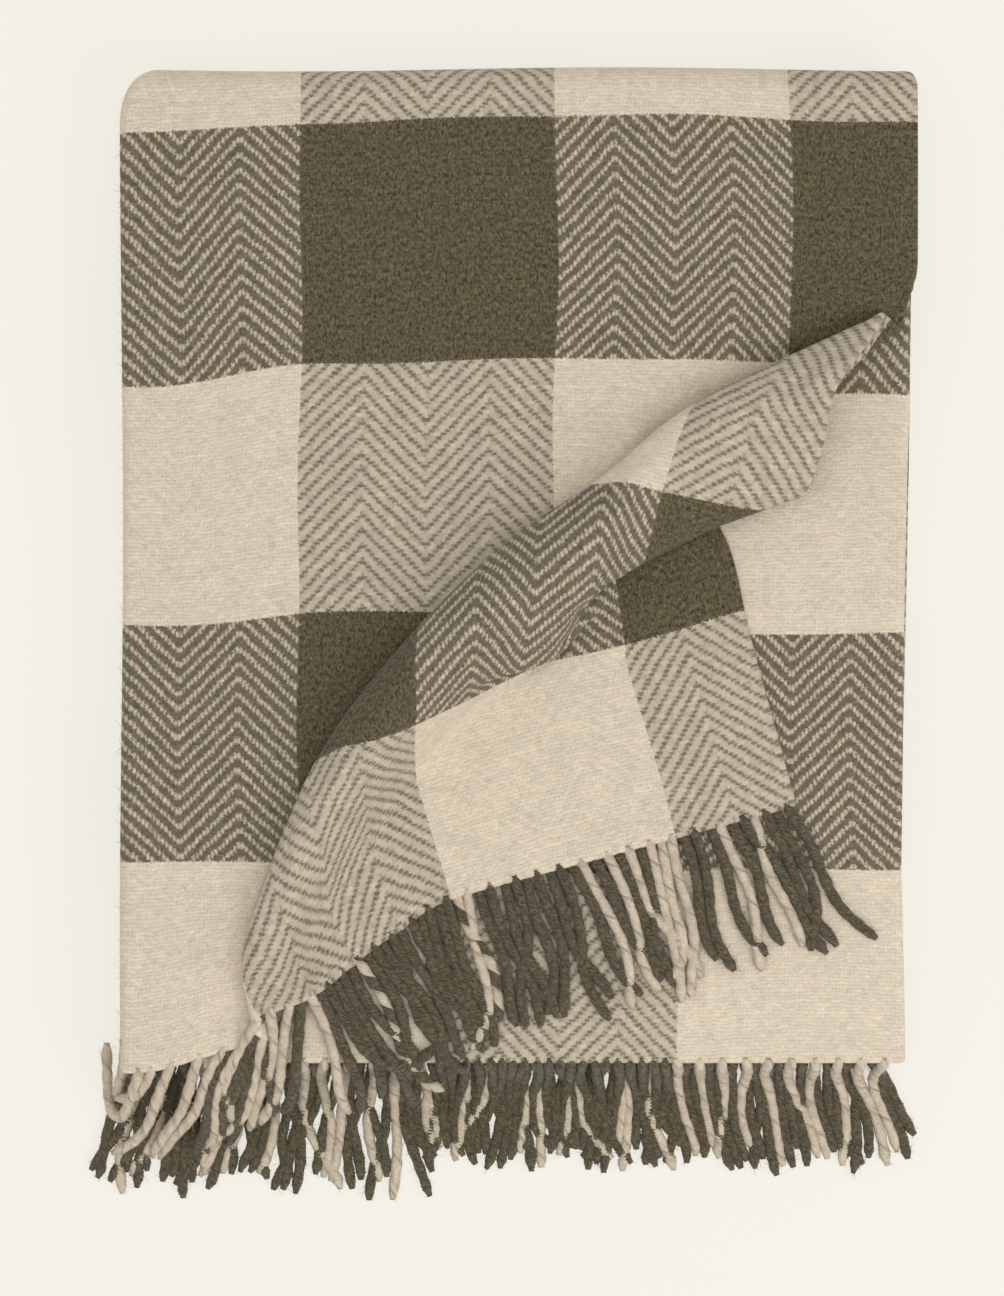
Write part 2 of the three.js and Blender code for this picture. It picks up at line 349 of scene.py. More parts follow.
# ---------------------------------------------------------------- materials
class Nodes:
    """Short calls for building a material's node tree."""

    def __init__(self, name):
        self.material = bpy.data.materials.new(name)
        self.material.use_nodes = True
        self.tree = self.material.node_tree
        self.shader = self.tree.nodes["Principled BSDF"]

    def put(self, value, socket):
        if isinstance(value, bpy.types.NodeSocket):
            self.tree.links.new(value, socket)
        else:
            socket.default_value = value

    def math(self, operation, a, b=0.0):
        node = self.tree.nodes.new("ShaderNodeMath")
        node.operation = operation
        self.put(a, node.inputs[0])
        self.put(b, node.inputs[1])
        return node.outputs[0]

    def plus(self, a, b):
        return self.math("ADD", a, b)

    def minus(self, a, b):
        return self.math("SUBTRACT", a, b)

    def times(self, a, b):
        return self.math("MULTIPLY", a, b)

    def mix(self, factor, a, b, blend="MIX"):
        node = self.tree.nodes.new("ShaderNodeMix")
        node.data_type = "RGBA"
        node.blend_type = blend
        self.put(factor, node.inputs[0])
        self.put(a, node.inputs[6])
        self.put(b, node.inputs[7])
        return node.outputs[2]

    def remap(self, value, low, high, new_low, new_high):
        node = self.tree.nodes.new("ShaderNodeMapRange")
        for socket, number in zip(node.inputs, (value, low, high, new_low, new_high)):
            self.put(number, socket)
        return node.outputs[0]

    def noise(self, vector, scale, detail=2.0, roughness=0.5):
        node = self.tree.nodes.new("ShaderNodeTexNoise")
        self.put(vector, node.inputs["Vector"])
        node.inputs["Scale"].default_value = scale
        node.inputs["Detail"].default_value = detail
        node.inputs["Roughness"].default_value = roughness
        return node.outputs[0]

    def combine(self, x, y, z=0.0):
        node = self.tree.nodes.new("ShaderNodeCombineXYZ")
        for socket, value in zip(node.inputs, (x, y, z)):
            self.put(value, socket)
        return node.outputs[0]

    def uv(self):
        node = self.tree.nodes.new("ShaderNodeUVMap")
        node.uv_map = "cloth"
        split = self.tree.nodes.new("ShaderNodeSeparateXYZ")
        self.tree.links.new(node.outputs[0], split.inputs[0])
        return split.outputs[0], split.outputs[1]

    def bump(self, height, distance, strength=1.0, below=None):
        node = self.tree.nodes.new("ShaderNodeBump")
        node.inputs["Strength"].default_value = strength
        node.inputs["Distance"].default_value = distance
        self.put(height, node.inputs["Height"])
        if below is not None:
            self.put(below, node.inputs["Normal"])
        return node.outputs[0]

    def wool(self, colour, normal, sheen):
        """Napped wool: matt, with a soft sheen."""
        self.put(colour, self.shader.inputs["Base Color"])
        self.put(normal, self.shader.inputs["Normal"])
        looks = {"Roughness": 0.95, "Specular IOR Level": 0.12,
                 "Sheen Weight": sheen, "Sheen Roughness": 0.55}
        for name, value in looks.items():
            self.shader.inputs[name].default_value = value
        return self.material


CREAM = (0.79, 0.685, 0.54, 1)
CREAM_SHADE = (0.62, 0.52, 0.385, 1)
WARP_CREAM = (0.785, 0.68, 0.53, 1)
WEFT_CREAM = (0.775, 0.68, 0.54, 1)
NEP = (0.40, 0.30, 0.19, 1)
OLIVE = (0.185, 0.152, 0.088, 1)
OLIVE_SHADE = (0.044, 0.035, 0.018, 1)
OLIVE_FIBRE = (0.30, 0.26, 0.17, 1)
OLIVE_CORD = (0.20, 0.165, 0.10, 1)
SOFTNESS = (0.20, 0.12)
DARK_ZONE_SHADE = 0.83
LIGHT_ZONE_SHADE = 0.9
THREAD_GAP = 0.9


def centred(n, value):
    """A noise value moved to lie around zero."""
    return n.minus(value, 0.5)


def grey(n, value):
    """A single number as a grey colour."""
    return n.combine(value, value, value)


def shaded(n, colour, shade):
    """A colour made darker or lighter by a single number."""
    return n.mix(1.0, colour, grey(n, shade), "MULTIPLY")


def stepped(n, count, share):
    """A thread count's whole part, its rest, and the count with its rest pulled to the thread's middle."""
    whole = n.math("FLOOR", count)
    rest = n.minus(count, whole)
    pulled = n.times(n.minus(0.5, rest), share)
    return whole, rest, n.plus(count, pulled)


def checked_wool():
    """Two-and-two herringbone twill in big checks, cream and olive in both warp and weft."""
    n = Nodes("checked_wool")
    across, along = n.uv()
    place = n.combine(across, along)
    fuzz_a = centred(n, n.noise(place, 95, 3, 0.6))
    fuzz_b = centred(n, n.noise(n.combine(along, across, 3.0), 105, 3, 0.6))
    drift = centred(n, n.noise(place, 14, 2))
    end = n.plus(n.times(across, THREADS_PER_CHECK), n.times(fuzz_a, 2.2))
    pick = n.plus(n.times(along, THREADS_PER_CHECK), n.times(fuzz_b, 1.5))
    pick = n.plus(pick, n.times(drift, 1.6))
    warp_column = n.math("FLOOR", n.plus(across, n.times(fuzz_b, 0.03)))
    warp_is_cream = n.math("FLOORED_MODULO", warp_column, 2)
    weft_row = n.math("FLOOR", n.plus(along, n.times(fuzz_a, 0.03)))
    weft_is_cream = n.minus(1.0, n.math("FLOORED_MODULO", weft_row, 2))
    weft_is_olive = n.minus(1.0, weft_is_cream)
    dark_zone = n.times(warp_is_cream, weft_is_olive)
    pick_row, pick_part, stepped_pick = stepped(n, pick, n.remap(dark_zone, 0, 1, 0.8, 0))
    _, end_part, stepped_end = stepped(n, end, n.remap(dark_zone, 0, 1, 0, 0.9))
    zigzag = n.math("PINGPONG", stepped_end, THREADS_PER_BAND)
    phase = n.math("FLOORED_MODULO", n.minus(stepped_pick, zigzag), 4)
    weft_thread = n.math("SINE", n.times(pick_part, math.pi))
    warp_thread = n.math("SINE", n.times(end_part, math.pi))
    floating_thread = n.remap(dark_zone, 0, 1, weft_thread, warp_thread)
    wave = n.math("SINE", n.times(phase, math.pi / 2))
    between_threads = n.math("POWER", n.minus(1.0, floating_thread), 2.0)
    wave = n.minus(wave, n.times(between_threads, THREAD_GAP))
    uneven = n.times(centred(n, n.noise(place, 26, 3)), 0.9)
    softness = n.remap(dark_zone, 0, 1, *SOFTNESS)
    wave_and_fuzz = n.plus(n.plus(wave, uneven), n.times(dark_zone, 0.1))
    weft_up = n.remap(wave_and_fuzz, 0.86, -0.08, softness, n.minus(1.0, softness))
    stitch = n.combine(n.math("FLOOR", n.times(end, 0.5)), pick_row)
    stitch_tone = n.noise(stitch, 0.731, 0)
    tone = n.noise(n.combine(across, n.times(along, 0.5)), 115, 3, 0.6)
    clump = n.noise(place, 48, 3, 0.6)
    shade_a = n.remap(tone, 0.40, 0.64, 0, 0.4)
    warp_cream = n.mix(shade_a, WARP_CREAM, CREAM_SHADE)
    weft_cream = n.mix(shade_a, WEFT_CREAM, CREAM_SHADE)
    olive_tone = n.plus(n.times(tone, 0.6), n.times(clump, 0.4))
    olive = n.mix(n.remap(olive_tone, 0.38, 0.62, 0, 1), OLIVE_SHADE, OLIVE)
    fibre = n.noise(n.combine(n.times(across, 2.2), along, 5.0), 58, 2)
    olive = n.mix(n.remap(fibre, 0.60, 0.76, 0, 0.7), olive, OLIVE_FIBRE)
    warp = n.mix(warp_is_cream, olive, warp_cream)
    weft = n.mix(weft_is_cream, olive, weft_cream)
    colour = n.mix(weft_up, warp, weft)
    colour = n.mix(n.remap(n.noise(place, 70, 1), 0.69, 0.77, 0, 0.35), colour, NEP)
    valley = n.math("ABSOLUTE", wave)
    thread = n.plus(n.times(weft_thread, 0.6), n.times(warp_thread, 0.4))
    groove = n.plus(n.times(valley, 0.5), n.times(thread, 0.5))
    two_tone = n.math("ABSOLUTE", n.minus(warp_is_cream, weft_is_cream))
    # Painted shade: the colour is darkened where the weave dips, in the grooves between floats and at the
    # threads' edges.
    groove_painted_shade = n.remap(groove, 0, 0.8, 0.86, 1.03)
    stitch_shade = n.remap(stitch_tone, 0.25, 0.75, 0.86, 1.12)
    # Painted groove shade, times a random tone for each stitch.
    stitch_tone_and_groove_shade = shaded(n, grey(n, groove_painted_shade), stitch_shade)
    colour = n.mix(n.remap(two_tone, 0, 1, 0.55, 1), colour, n.mix(1.0, colour, stitch_tone_and_groove_shade, "MULTIPLY"))
    # Painted shade in the single-colour checks: a fine grid, darker at the threads' edges where the gaps
    # between them are.
    plain_thread_gap_shade = n.remap(two_tone, 0, 1, n.remap(thread, 0.25, 0.85, 0.91, 1.02), 1.0)
    colour = shaded(n, colour, plain_thread_gap_shade)
    light_zone = n.minus(two_tone, dark_zone)
    colour = shaded(n, colour, n.remap(dark_zone, 0, 1, 1, DARK_ZONE_SHADE))
    colour = shaded(n, colour, n.remap(light_zone, 0, 1, 1, LIGHT_ZONE_SHADE))
    colour = shaded(n, colour, n.remap(n.noise(place, 9, 3), 0.3, 0.7, 0.95, 1.04))
    normal = n.bump(groove, 0.0004, 0.6)
    normal = n.bump(olive_tone, 0.0010, 0.6, normal)
    return n.wool(colour, normal, 0.15)


def cord_wool(name, light, dark):
    """Twisted wool yarn. Its uv runs round the cord and along it in millimetres."""
    n = Nodes(name)
    around, along = n.uv()
    place = n.combine(n.times(around, 8), n.times(along, 0.30))
    fibre = n.noise(place, 1.6, 3, 0.6)
    wide = n.noise(place, 0.22, 2)
    colour = n.mix(n.remap(fibre, 0.36, 0.66, 0, 1), light, dark)
    colour = shaded(n, colour, n.remap(wide, 0.3, 0.7, 0.82, 1.08))
    return n.wool(colour, n.bump(fibre, 0.0012, 0.9), 0.2)


checked = checked_wool()
cream_cord = cord_wool("cream_wool", CREAM, CREAM_SHADE)
olive_cord = cord_wool("olive_wool", OLIVE_CORD, OLIVE_SHADE)

# ---------------------------------------------------------------- the pulled-back corner
# The front panel's top layer is pulled back in a soft pleat. Each section crosses the pleat: it starts flat
# (cloth = place), dips into the hidden inner fold, comes back to the crest, goes over the roll and ends on
# the corner flap. Heights are above the flat layer. "crest" is the point's number, and the two cloth places
# are where the crest and the end were before the corner was moved.


# Spare cloth inside the roll's middle part: distance in from its edge as a share of its depth, and height.
TUCKS = [(0.52, 0), (0.58, 2.5), (0.52, 5), (0.14, 7), (0.08, 9.5), (0.14, 12), (0.34, 14), (0.32, 18)]


def pleat_section(crest_cloth, end_cloth, start, depth, direction, crest_height, over, end):
    """Section of the roll's middle part, with its spare cloth in two small tucks inside the roll."""
    inside = [(*(np.array(start) + share * depth * np.array(direction)), height) for share, height in TUCKS]
    points = [(*start, 0), *inside, (*start, crest_height), *over, (*end, 0)]
    return {"points": points, "crest": 1 + len(TUCKS), "crest_cloth": crest_cloth, "end_cloth": end_cloth}


SECTIONS = [
    {
        "crest": 4, "crest_cloth": (210, 140), "end_cloth": (210, -125),
        "points": [(210, 196, 0), (206, 187, 0.5), (200, 168, 1), (198.5, 166, 4), (196.3, 173.5, 9),
                   (190, 166, 16), (177.7, 151.2, 25), (164.5, 133.7, 31), (160.8, 106.1, 31),
                   (153.3, 84.9, 24), (144.9, 75.9, 11), (86, 91, 4.5), (110.9, 50.4, 0), (121, 7.8, 0)],
    },
    {
        "crest": 5, "crest_cloth": (143.8, 69), "end_cloth": (143.8, -116.7),
        "points": [(84, 134, 0), (118, 97, 0), (121, 94, 4), (117, 98, 8), (98, 119, 13), (92.3, 124.7, 20),
                   (90, 112, 29), (82, 95, 33), (76.4, 79.6, 32), (71, 58, 25), (66, 40, 13), (64, 44, 7),
                   (53, 58, 4), (53.6, 21.2, 0), (57.8, -2.7, 0)],
    },
    pleat_section((107.5, 23.4), (105, -125), (45, 85), 44, (0.71, -0.70), 22,
                  [(43, 73, 34), (39, 58, 41), (34, 38, 41), (28, 18, 33), (22, 0, 20), (20, -8, 12),
                   (24, 2, 4), (21, -10, 0)], (19.6, -19.3)),
    pleat_section((60, -13.6), (55, -135), (-8, 48), 46, (0.74, -0.67), 22,
                  [(-9, 36, 35), (-12, 20, 41), (-16, 2, 39), (-20, -14, 30), (-24, -27, 16),
                   (-26, -36, 4)], (-26.2, -42)),
    pleat_section((8, -65.7), (10, -165), (-61, -5), 46, (0.75, -0.66), 20,
                  [(-62, -16, 32), (-64, -31, 37), (-65, -47, 33), (-65, -60, 22), (-64, -71, 9),
                   (-62, -79, 1)], (-61.8, -82.6)),
    pleat_section((-49.7, -120), (-35, -195), (-109, -72), 38, (0.78, -0.63), 15,
                  [(-107, -83, 24), (-104, -95, 26), (-100, -108, 20), (-96, -121, 8), (-94, -129, 1)],
                  (-93, -134)),
    {
        "crest": 4, "crest_cloth": (-113.2, -181.8), "end_cloth": (-66, -205),
        "points": [(-143, -170, 0), (-128, -176, 0), (-126, -177, 2.3), (-128, -176, 4.6), (-143, -170, 9),
                   (-141, -171, 15), (-134, -171, 18), (-125, -171, 14), (-117, -171, 5), (-113, -171, 0.5),
                   (-106.9, -163.5, 0)],
    },
    {
        "crest": 4, "crest_cloth": (-115.7, -223), "end_cloth": (-57.6, -223),
        "points": [(-155, -223, 0), (-134, -221, 0), (-132, -219, 4), (-136, -214, 7), (-137, -209, 9),
                   (-131, -204, 12), (-118, -197, 12), (-105, -188, 7), (-93.4, -177.8, 1)],
    },
]
FLAP_TURN = math.radians(15)
FLAP_SHIFT = (-114.2, 74.2)
# Places on the flap's left part that lie off the plain turn, and by how much. The reach is how far each place
# counts, the base weight keeps the rest of the flap on the plain turn, and the gain makes up for it.
FLAP_OFFSETS = [((-35, -195), (4.5, -10.7)), ((-66, -205), (18, -22.6)), ((-57.6, -223), (18.7, -21.7)),
                ((-23.4, -223), (6.9, -9.2)), ((19.6, -223), (0, 0)), ((10, -165), (0, 0)),
                ((60, -190), (0, 0))]
FLAP_OFFSET_REACH = 26
FLAP_BASE_WEIGHT = 0.15
FLAP_OFFSET_GAIN = 1.15
# Lift of the flat cloth at the roll's upper left edge, one for each section, and how far it reaches each way.
TENT_LIFTS = [1, 5, 7, 7, 7, 6, 3, 0]
TENT_OUTSIDE = 55
TENT_INSIDE = 20
# The near edge left of the roll: how far its corner sags, and how far the cloth beside the roll is drawn up.
EDGE_SAG = 5
EDGE_RISE = 10
# The top fold's cloth runs on past the crease, and the top layer ends just over it.
LAP = 7.5
OVERLAP = 1.5
OVERLAP_LIFT = 0.06
# Steps on a section before and after its crest and to the next section, the cloth grid's pitch, and the steps
# from one point of a section to the next.
BACK_STEPS = 24
OVER_STEPS = 80
ACROSS_STEPS = 26
GRID = 4.0
SECTION_STEPS = 12
# How strongly a cloth grid's edges, diagonals and bends keep their lengths in each round, and the rounds.
STRETCH_SHARE = 0.45
SHEAR_SHARE = 0.12
BEND_SHARE = 0.06
RELAX_ROUNDS = 260


def flap_place(cloth):
    """Where the corner flap's cloth lies after it was turned and pulled back."""
    x, y = cloth[..., 0], cloth[..., 1]
    turned = np.stack([
        x * math.cos(FLAP_TURN) - y * math.sin(FLAP_TURN) + FLAP_SHIFT[0],
        x * math.sin(FLAP_TURN) + y * math.cos(FLAP_TURN) + FLAP_SHIFT[1],
    ], -1)
    total = np.full(x.shape, FLAP_BASE_WEIGHT)
    moved = np.zeros_like(turned)
    for place, offset in FLAP_OFFSETS:
        distance = np.hypot(x - place[0], y - place[1])
        weight = np.exp(-((distance / FLAP_OFFSET_REACH) ** 2))
        total = total + weight
        moved = moved + weight[..., None] * np.array(offset)
    return turned + moved / total[..., None] * FLAP_OFFSET_GAIN


def sample_section(section):
    """Evenly spaced places on a section, with the cloth point at each: columns x, y, z, cloth x, cloth y."""
    curve = catmull(section["points"], SECTION_STEPS)
    crest = section["crest"] * SECTION_STEPS
    parts = [(curve[:crest + 1], section["points"][0][:2], section["crest_cloth"], BACK_STEPS),
             (curve[crest:], section["crest_cloth"], section["end_cloth"], OVER_STEPS)]
    rows = []
    for part, cloth_start, cloth_end, count in parts:
        run = path_run(part)
        share = np.linspace(0, 1, count + 1)[:-1]
        places = np.stack([np.interp(share * run[-1], run, part[:, k]) for k in range(3)], -1)
        cloth = np.outer(1 - share, cloth_start) + np.outer(share, cloth_end)
        rows.append(np.concatenate([places, cloth], 1))
    last = np.array([*section["points"][-1], *section["end_cloth"]], float)
    return np.concatenate([*rows, [last]])


def relax(points, targets, pull, rest_x, rest_y):
    """Lets the cloth grid find its true size: edges and diagonals keep their lengths, bends stay soft."""
    pull = pull[..., None]
    diagonal = math.hypot(rest_x, rest_y)
    whole = np.s_[:]
    links = [
        ((whole, np.s_[:-1]), (whole, np.s_[1:]), rest_x, STRETCH_SHARE, False),
        ((np.s_[:-1], whole), (np.s_[1:], whole), rest_y, STRETCH_SHARE, False),
        ((np.s_[:-1], np.s_[:-1]), (np.s_[1:], np.s_[1:]), diagonal, SHEAR_SHARE, False),
        ((np.s_[1:], np.s_[:-1]), (np.s_[:-1], np.s_[1:]), diagonal, SHEAR_SHARE, False),
        ((whole, np.s_[:-2]), (whole, np.s_[2:]), 2 * rest_x, BEND_SHARE, True),
        ((np.s_[:-2], whole), (np.s_[2:], whole), 2 * rest_y, BEND_SHARE, True),
    ]
    for _ in range(RELAX_ROUNDS):
        for near, far, length, share, only_short in links:
            gap = points[far] - points[near]
            size = size_of(gap)
            error = size - length
            if only_short:
                error = np.minimum(error, 0)
            move = share * error * gap / size
            points[near] += move
            points[far] -= move
        points += pull * (targets - points)
        points[..., 2] = np.maximum(points[..., 2], 0)
    return points


def tent_height(places, line, beyond):
    """How far the cloth beside the roll is lifted off the layer below it."""
    lifts = np.interp(np.arange(len(line)), np.arange(len(TENT_LIFTS)) * ACROSS_STEPS, TENT_LIFTS)
    distance = np.linalg.norm(places[..., None, :2] - line, axis=-1)
    nearest = distance.argmin(-1)
    reach = np.where(beyond, TENT_INSIDE, TENT_OUTSIDE)
    near = ease(1 - distance.min(-1) / reach)
    return lifts[nearest] * near * (1 - ease(places[..., 2] / 20))


def pleated_layer():
    """The front panel's top layer with its pulled-back corner, on a fine grid.

    Returns places, flat cloth x and y (before the corner was pulled back). Rows run from the near edge up.
    """
    cols = int(round((RIGHT_EDGE - LEFT_BEND) / GRID)) + 1
    rows = int(round((TOP_CREASE - NEAR_EDGE) / GRID)) + 1
    cloth_x = np.linspace(RIGHT_EDGE, LEFT_BEND, cols)
    cloth_y = np.linspace(NEAR_EDGE, TOP_CREASE, rows)
    flat_x, flat_y = np.meshgrid(cloth_x, cloth_y)
    sampled = np.stack([sample_section(section) for section in SECTIONS])
    surface = catmull(sampled, ACROSS_STEPS)
    total = np.zeros((rows, cols, 4))
    column = (RIGHT_EDGE - surface[..., 3]) / (RIGHT_EDGE - LEFT_BEND) * (cols - 1)
    row = (surface[..., 4] - NEAR_EDGE) / (TOP_CREASE - NEAR_EDGE) * (rows - 1)
    column = np.clip(column, 0, cols - 1.001).ravel()
    row = np.clip(row, 0, rows - 1.001).ravel()
    values = np.concatenate([surface[..., :3].reshape(-1, 3), np.ones((column.size, 1))], 1)
    low_col, low_row = np.floor(column).astype(int), np.floor(row).astype(int)
    part_col, part_row = column - low_col, row - low_row
    for step_row in (0, 1):
        for step_col in (0, 1):
            weight = np.abs(1 - step_row - part_row) * np.abs(1 - step_col - part_col)
            np.add.at(total, (low_row + step_row, low_col + step_col), values * weight[:, None])
    weights = total[..., 3]
    in_band = weights > 0.6
    band = total[..., :3] / np.maximum(weights, 1e-6)[..., None]
    cloth = np.stack([flat_x, flat_y], -1)
    start_line, end_line = surface[:, 0, 3:], surface[:, -1, 3:]
    to_start = np.min(np.linalg.norm(cloth[..., None, :] - start_line, axis=-1), axis=-1)
    to_end = np.min(np.linalg.norm(cloth[..., None, :] - end_line, axis=-1), axis=-1)
    on_flap = (to_end < to_start) & ~in_band
    flat = np.stack([flat_x, flat_y, np.zeros_like(flat_x)], -1)
    flap = np.concatenate([flap_place(cloth), np.zeros((rows, cols, 1))], -1)
    targets = np.where(in_band[..., None], band, np.where(on_flap[..., None], flap, flat))
    pull = np.where(in_band, 0.06, np.where(on_flap, 0.12, 0.5 * ease(to_start / 30) + 0.05))
    rest_x = (RIGHT_EDGE - LEFT_BEND) / (cols - 1)
    rest_y = (TOP_CREASE - NEAR_EDGE) / (rows - 1)
    places = relax(targets.copy(), targets, pull, rest_x, rest_y)
    for _ in range(3):
        mean = (places[:-2, 1:-1] + places[2:, 1:-1] + places[1:-1, :-2] + places[1:-1, 2:]) / 4
        places[1:-1, 1:-1] += 0.35 * in_band[1:-1, 1:-1, None] * (mean - places[1:-1, 1:-1])
    places[..., 2] += tent_height(places, surface[:, 0, :2], in_band | on_flap)
    held = np.maximum(ease((flat_y - 200) / 50), ease((-160 - flat_x) / 30))[..., None]
    places = places + held * (flat - places)
    near_top = ease((flat_y - TOP_CREASE + 60) / 60)
    places[..., 1] -= (LAP - OVERLAP) * near_top
    places[..., 2] += OVERLAP_LIFT * near_top
    packed = np.concatenate([places, flat_x[..., None], flat_y[..., None]], -1)
    fine = catmull(packed, 2)
    fine = catmull(fine.swapaxes(0, 1), 2).swapaxes(0, 1)
    return fine[..., :3], fine[..., 3], fine[..., 4]


def front_top_sheet():
    """Top layer, its pulled-back corner and the left bend as one sheet.

    Also returns the sheet's points and uvs, and the columns' places across the flat cloth.
    """
    places, flat_x, flat_y = pleated_layer()
    corner_sag = EDGE_SAG * ease((-100 - flat_x) / 100)
    drawn_up = EDGE_RISE * ease((flat_x + 203) / 60) * (1 - ease((flat_x + 115) / 60))
    places[..., 1] += (drawn_up - corner_sag) * ease((-85 - flat_y) / 125)
    places = places + np.array([0, 0, TOP_LEVEL])
    turns = np.linspace(0, math.pi, BEND_STEPS + 1)[1:]
    rise = FRONT_LEVELS[0] - FRONT_LEVELS[1]
    edge = places[:, -1:]
    bend_x = edge[..., 0] - rise * np.sin(turns)
    bend_y = np.repeat(edge[..., 1], len(turns), 1)
    bend_z = edge[..., 2] - rise + rise * np.cos(turns)
    bend = np.stack([bend_x, bend_y, bend_z], -1)
    across = np.concatenate([RIGHT_EDGE - flat_x, RIGHT_EDGE - flat_x[:, -1:] + rise * turns], 1)
    cloth_y = flat_y - (LAP - OVERLAP) * ease((flat_y - TOP_CREASE + 60) / 60)
    along = np.concatenate([cloth_y, np.repeat(cloth_y[:, -1:], len(turns), 1)], 1) - NEAR_EDGE
    shift_x = np.concatenate([flat_x, bend_x], 1)
    shift_y = np.concatenate([flat_y, bend_y], 1)
    points = settle(np.concatenate([places, bend], 1))
    uvs = weave_coordinates(across, along, shift_x, shift_y)
    return cloth_sheet("front_top_sheet", points, uvs, ["near", "first"]), points, uvs, flat_x[0]


def under_cloth(name, points, across, along, rounded):
    """A sheet that lies under the top layer, from its points and its places on the cloth."""
    x = points[..., 0]
    uvs = weave_coordinates(np.broadcast_to(across, x.shape), along, x, np.full_like(x, TOP_CREASE))
    return cloth_sheet(name, settle(drawn_in(points)), uvs, rounded)


def lower_pattern_shift(y):
    """How far the pattern of the two lower front layers lies towards the near end of where it would be."""
    return np.interp(y, [NEAR_EDGE, -122, 3, 129, TOP_CREASE], [3, 5.6, 13, 19, 0])


def straight_panel(name, levels, ends, along_start, step, rounded, part=None, shift=None):
    """A panel's three layers as one sheet, or part of them, from the first to the last y in ends."""
    x, z, across, left_end = letter_path(levels, step)
    x, z, across = (values[part(left_end)] if part else values for values in (x, z, across))
    rows = max(2, int(abs(ends[1] - ends[0]) / step) + 1)
    grid_x, grid_y = np.meshgrid(x, np.linspace(*ends, rows))
    grid_z = np.broadcast_to(z, grid_x.shape)
    along = along_start(grid_z) + np.abs(grid_y - ends[0])
    if shift:
        along = along + shift(grid_y)
    return under_cloth(name, np.stack([grid_x, grid_y, grid_z], -1), across, along, rounded)


# An even number, so that no row lies on the hinge's own level.
FOLD_ROWS = 16


def turned_fold(name, levels, crease_y, axis_z, side, along_start, step):
    """The three layers where they turn over a crease, nested round one axis."""
    x, z, across, _ = letter_path(levels, step)
    turns = np.linspace(0, math.pi, FOLD_ROWS)
    laps = np.linspace(-LAP, 0, 4)[:-1]
    turns = np.concatenate([0 * laps, turns, math.pi + 0 * laps])
    laps = np.concatenate([laps, np.zeros(FOLD_ROWS), laps[::-1]])
    grid_x, turn = np.meshgrid(x, turns)
    lap = np.broadcast_to(laps[:, None], grid_x.shape)
    radius = np.broadcast_to(z - axis_z, grid_x.shape)
    y = crease_y + side * (radius * np.sin(turn) + lap)
    points = np.stack([grid_x, y, axis_z + radius * np.cos(turn)], -1)
    along = along_start(np.broadcast_to(z, grid_x.shape)) + radius * turn + np.where(turn > 1, -lap, lap)
    return under_cloth(name, points, across, along, ["first", "last"])


PANEL = TOP_CREASE - NEAR_EDGE
FOLDED = TOP_CREASE - BOTTOM_CREASE


def middle_start(z):
    """Distance along the cloth where the middle panel leaves the top crease, by a layer's height there."""
    return PANEL + math.pi * np.abs(z - TOP_AXIS)


def bottom_start(z):
    """Distance along the cloth where the bottom fold begins, by the layer's height in the middle panel."""
    return middle_start(z) + FOLDED


def back_start(z):
    """Distance along the cloth where the back panel begins, by the layer's height in that panel."""
    height = 2 * BOTTOM_AXIS - z
    return bottom_start(height) + math.pi * np.abs(z - BOTTOM_AXIS)


SEEN_STEP = 3.4
HIDDEN_STEP = 6
FRONT_TURNED = [2 * TOP_AXIS - level for level in MIDDLE_LEVELS]
top_sheet, top_points, top_uvs, top_flat_x = front_top_sheet()
under_sheet = straight_panel("front_under_sheet", FRONT_LEVELS, (NEAR_EDGE, TOP_CREASE - LAP),
                             lambda z: 0 * z, SEEN_STEP, ["near", "last"],
                             part=lambda left_end: np.s_[left_end:], shift=lower_pattern_shift)
top_fold = turned_fold("top_fold_cloth", FRONT_TURNED, TOP_CREASE, TOP_AXIS, 1,
                       lambda z: 0 * z + PANEL, SEEN_STEP)
middle_cloth = straight_panel("middle_cloth", MIDDLE_LEVELS, (TOP_CREASE - LAP, BOTTOM_CREASE + LAP),
                              lambda z: middle_start(z) + LAP, HIDDEN_STEP, ["first", "last"])
bottom_fold = turned_fold("bottom_fold_cloth", MIDDLE_LEVELS, BOTTOM_CREASE, BOTTOM_AXIS, -1, bottom_start, 5)
back_cloth = straight_panel("back_cloth", BACK_LEVELS, (BOTTOM_CREASE + LAP, BACK_END),
                            lambda z: back_start(z) + LAP, HIDDEN_STEP, ["far", "first", "last"])

# ---------------------------------------------------------------- fringe
CORD_RADIUS = 2.9
PRESSED_RADIUS = 2.0
CORD_PITCH = 12.5
PLY_DEPTH = 0.07
CORD_NODES = 24
TWIST_LENGTH = 19
DROP_LENGTH = 62
# Settling the cords: how close two may lie as a share of a cord's thickness, how far they sink in a round,
# how well they keep their shape, how far they may be pushed in a round, and the smoothings at the end.
PRESSED_SHARE = 0.86
SINK = 0.5
STIFFNESS = 0.7
FARTHEST_PUSH = 2.5
SMOOTHINGS = 6
# Distance across the cloth where the lower and the inner layer begin.
LOWER_ACROSS = 427.9
INNER_ACROSS = 844.2


def cord_route(root, heading, length, drop, bend, wave, wave_phase, hook):
    """A cord's first shape: out from its edge and down to the ground. A hook is a tight turn on the way."""
    s = np.linspace(0, 1, CORD_NODES)
    angle = heading + bend * s ** 1.3 + hook * ease((s - 0.41) / 0.24)
    angle = angle + wave * np.sin(2 * math.pi * s * 1.15 + wave_phase) * (0.3 + 0.7 * s)
    z = root[2] - drop * ease(s * length / DROP_LENGTH)
    fall = np.diff(z)
    step = length / (CORD_NODES - 1)
    forward = np.sqrt(np.maximum(step ** 2 - fall ** 2, 0.2 * step ** 2))
    middle = (angle[1:] + angle[:-1]) / 2
    x = root[0] + running_total(forward * np.cos(middle))
    y = root[1] + running_total(forward * np.sin(middle))
    return np.stack([x, y, z], -1)


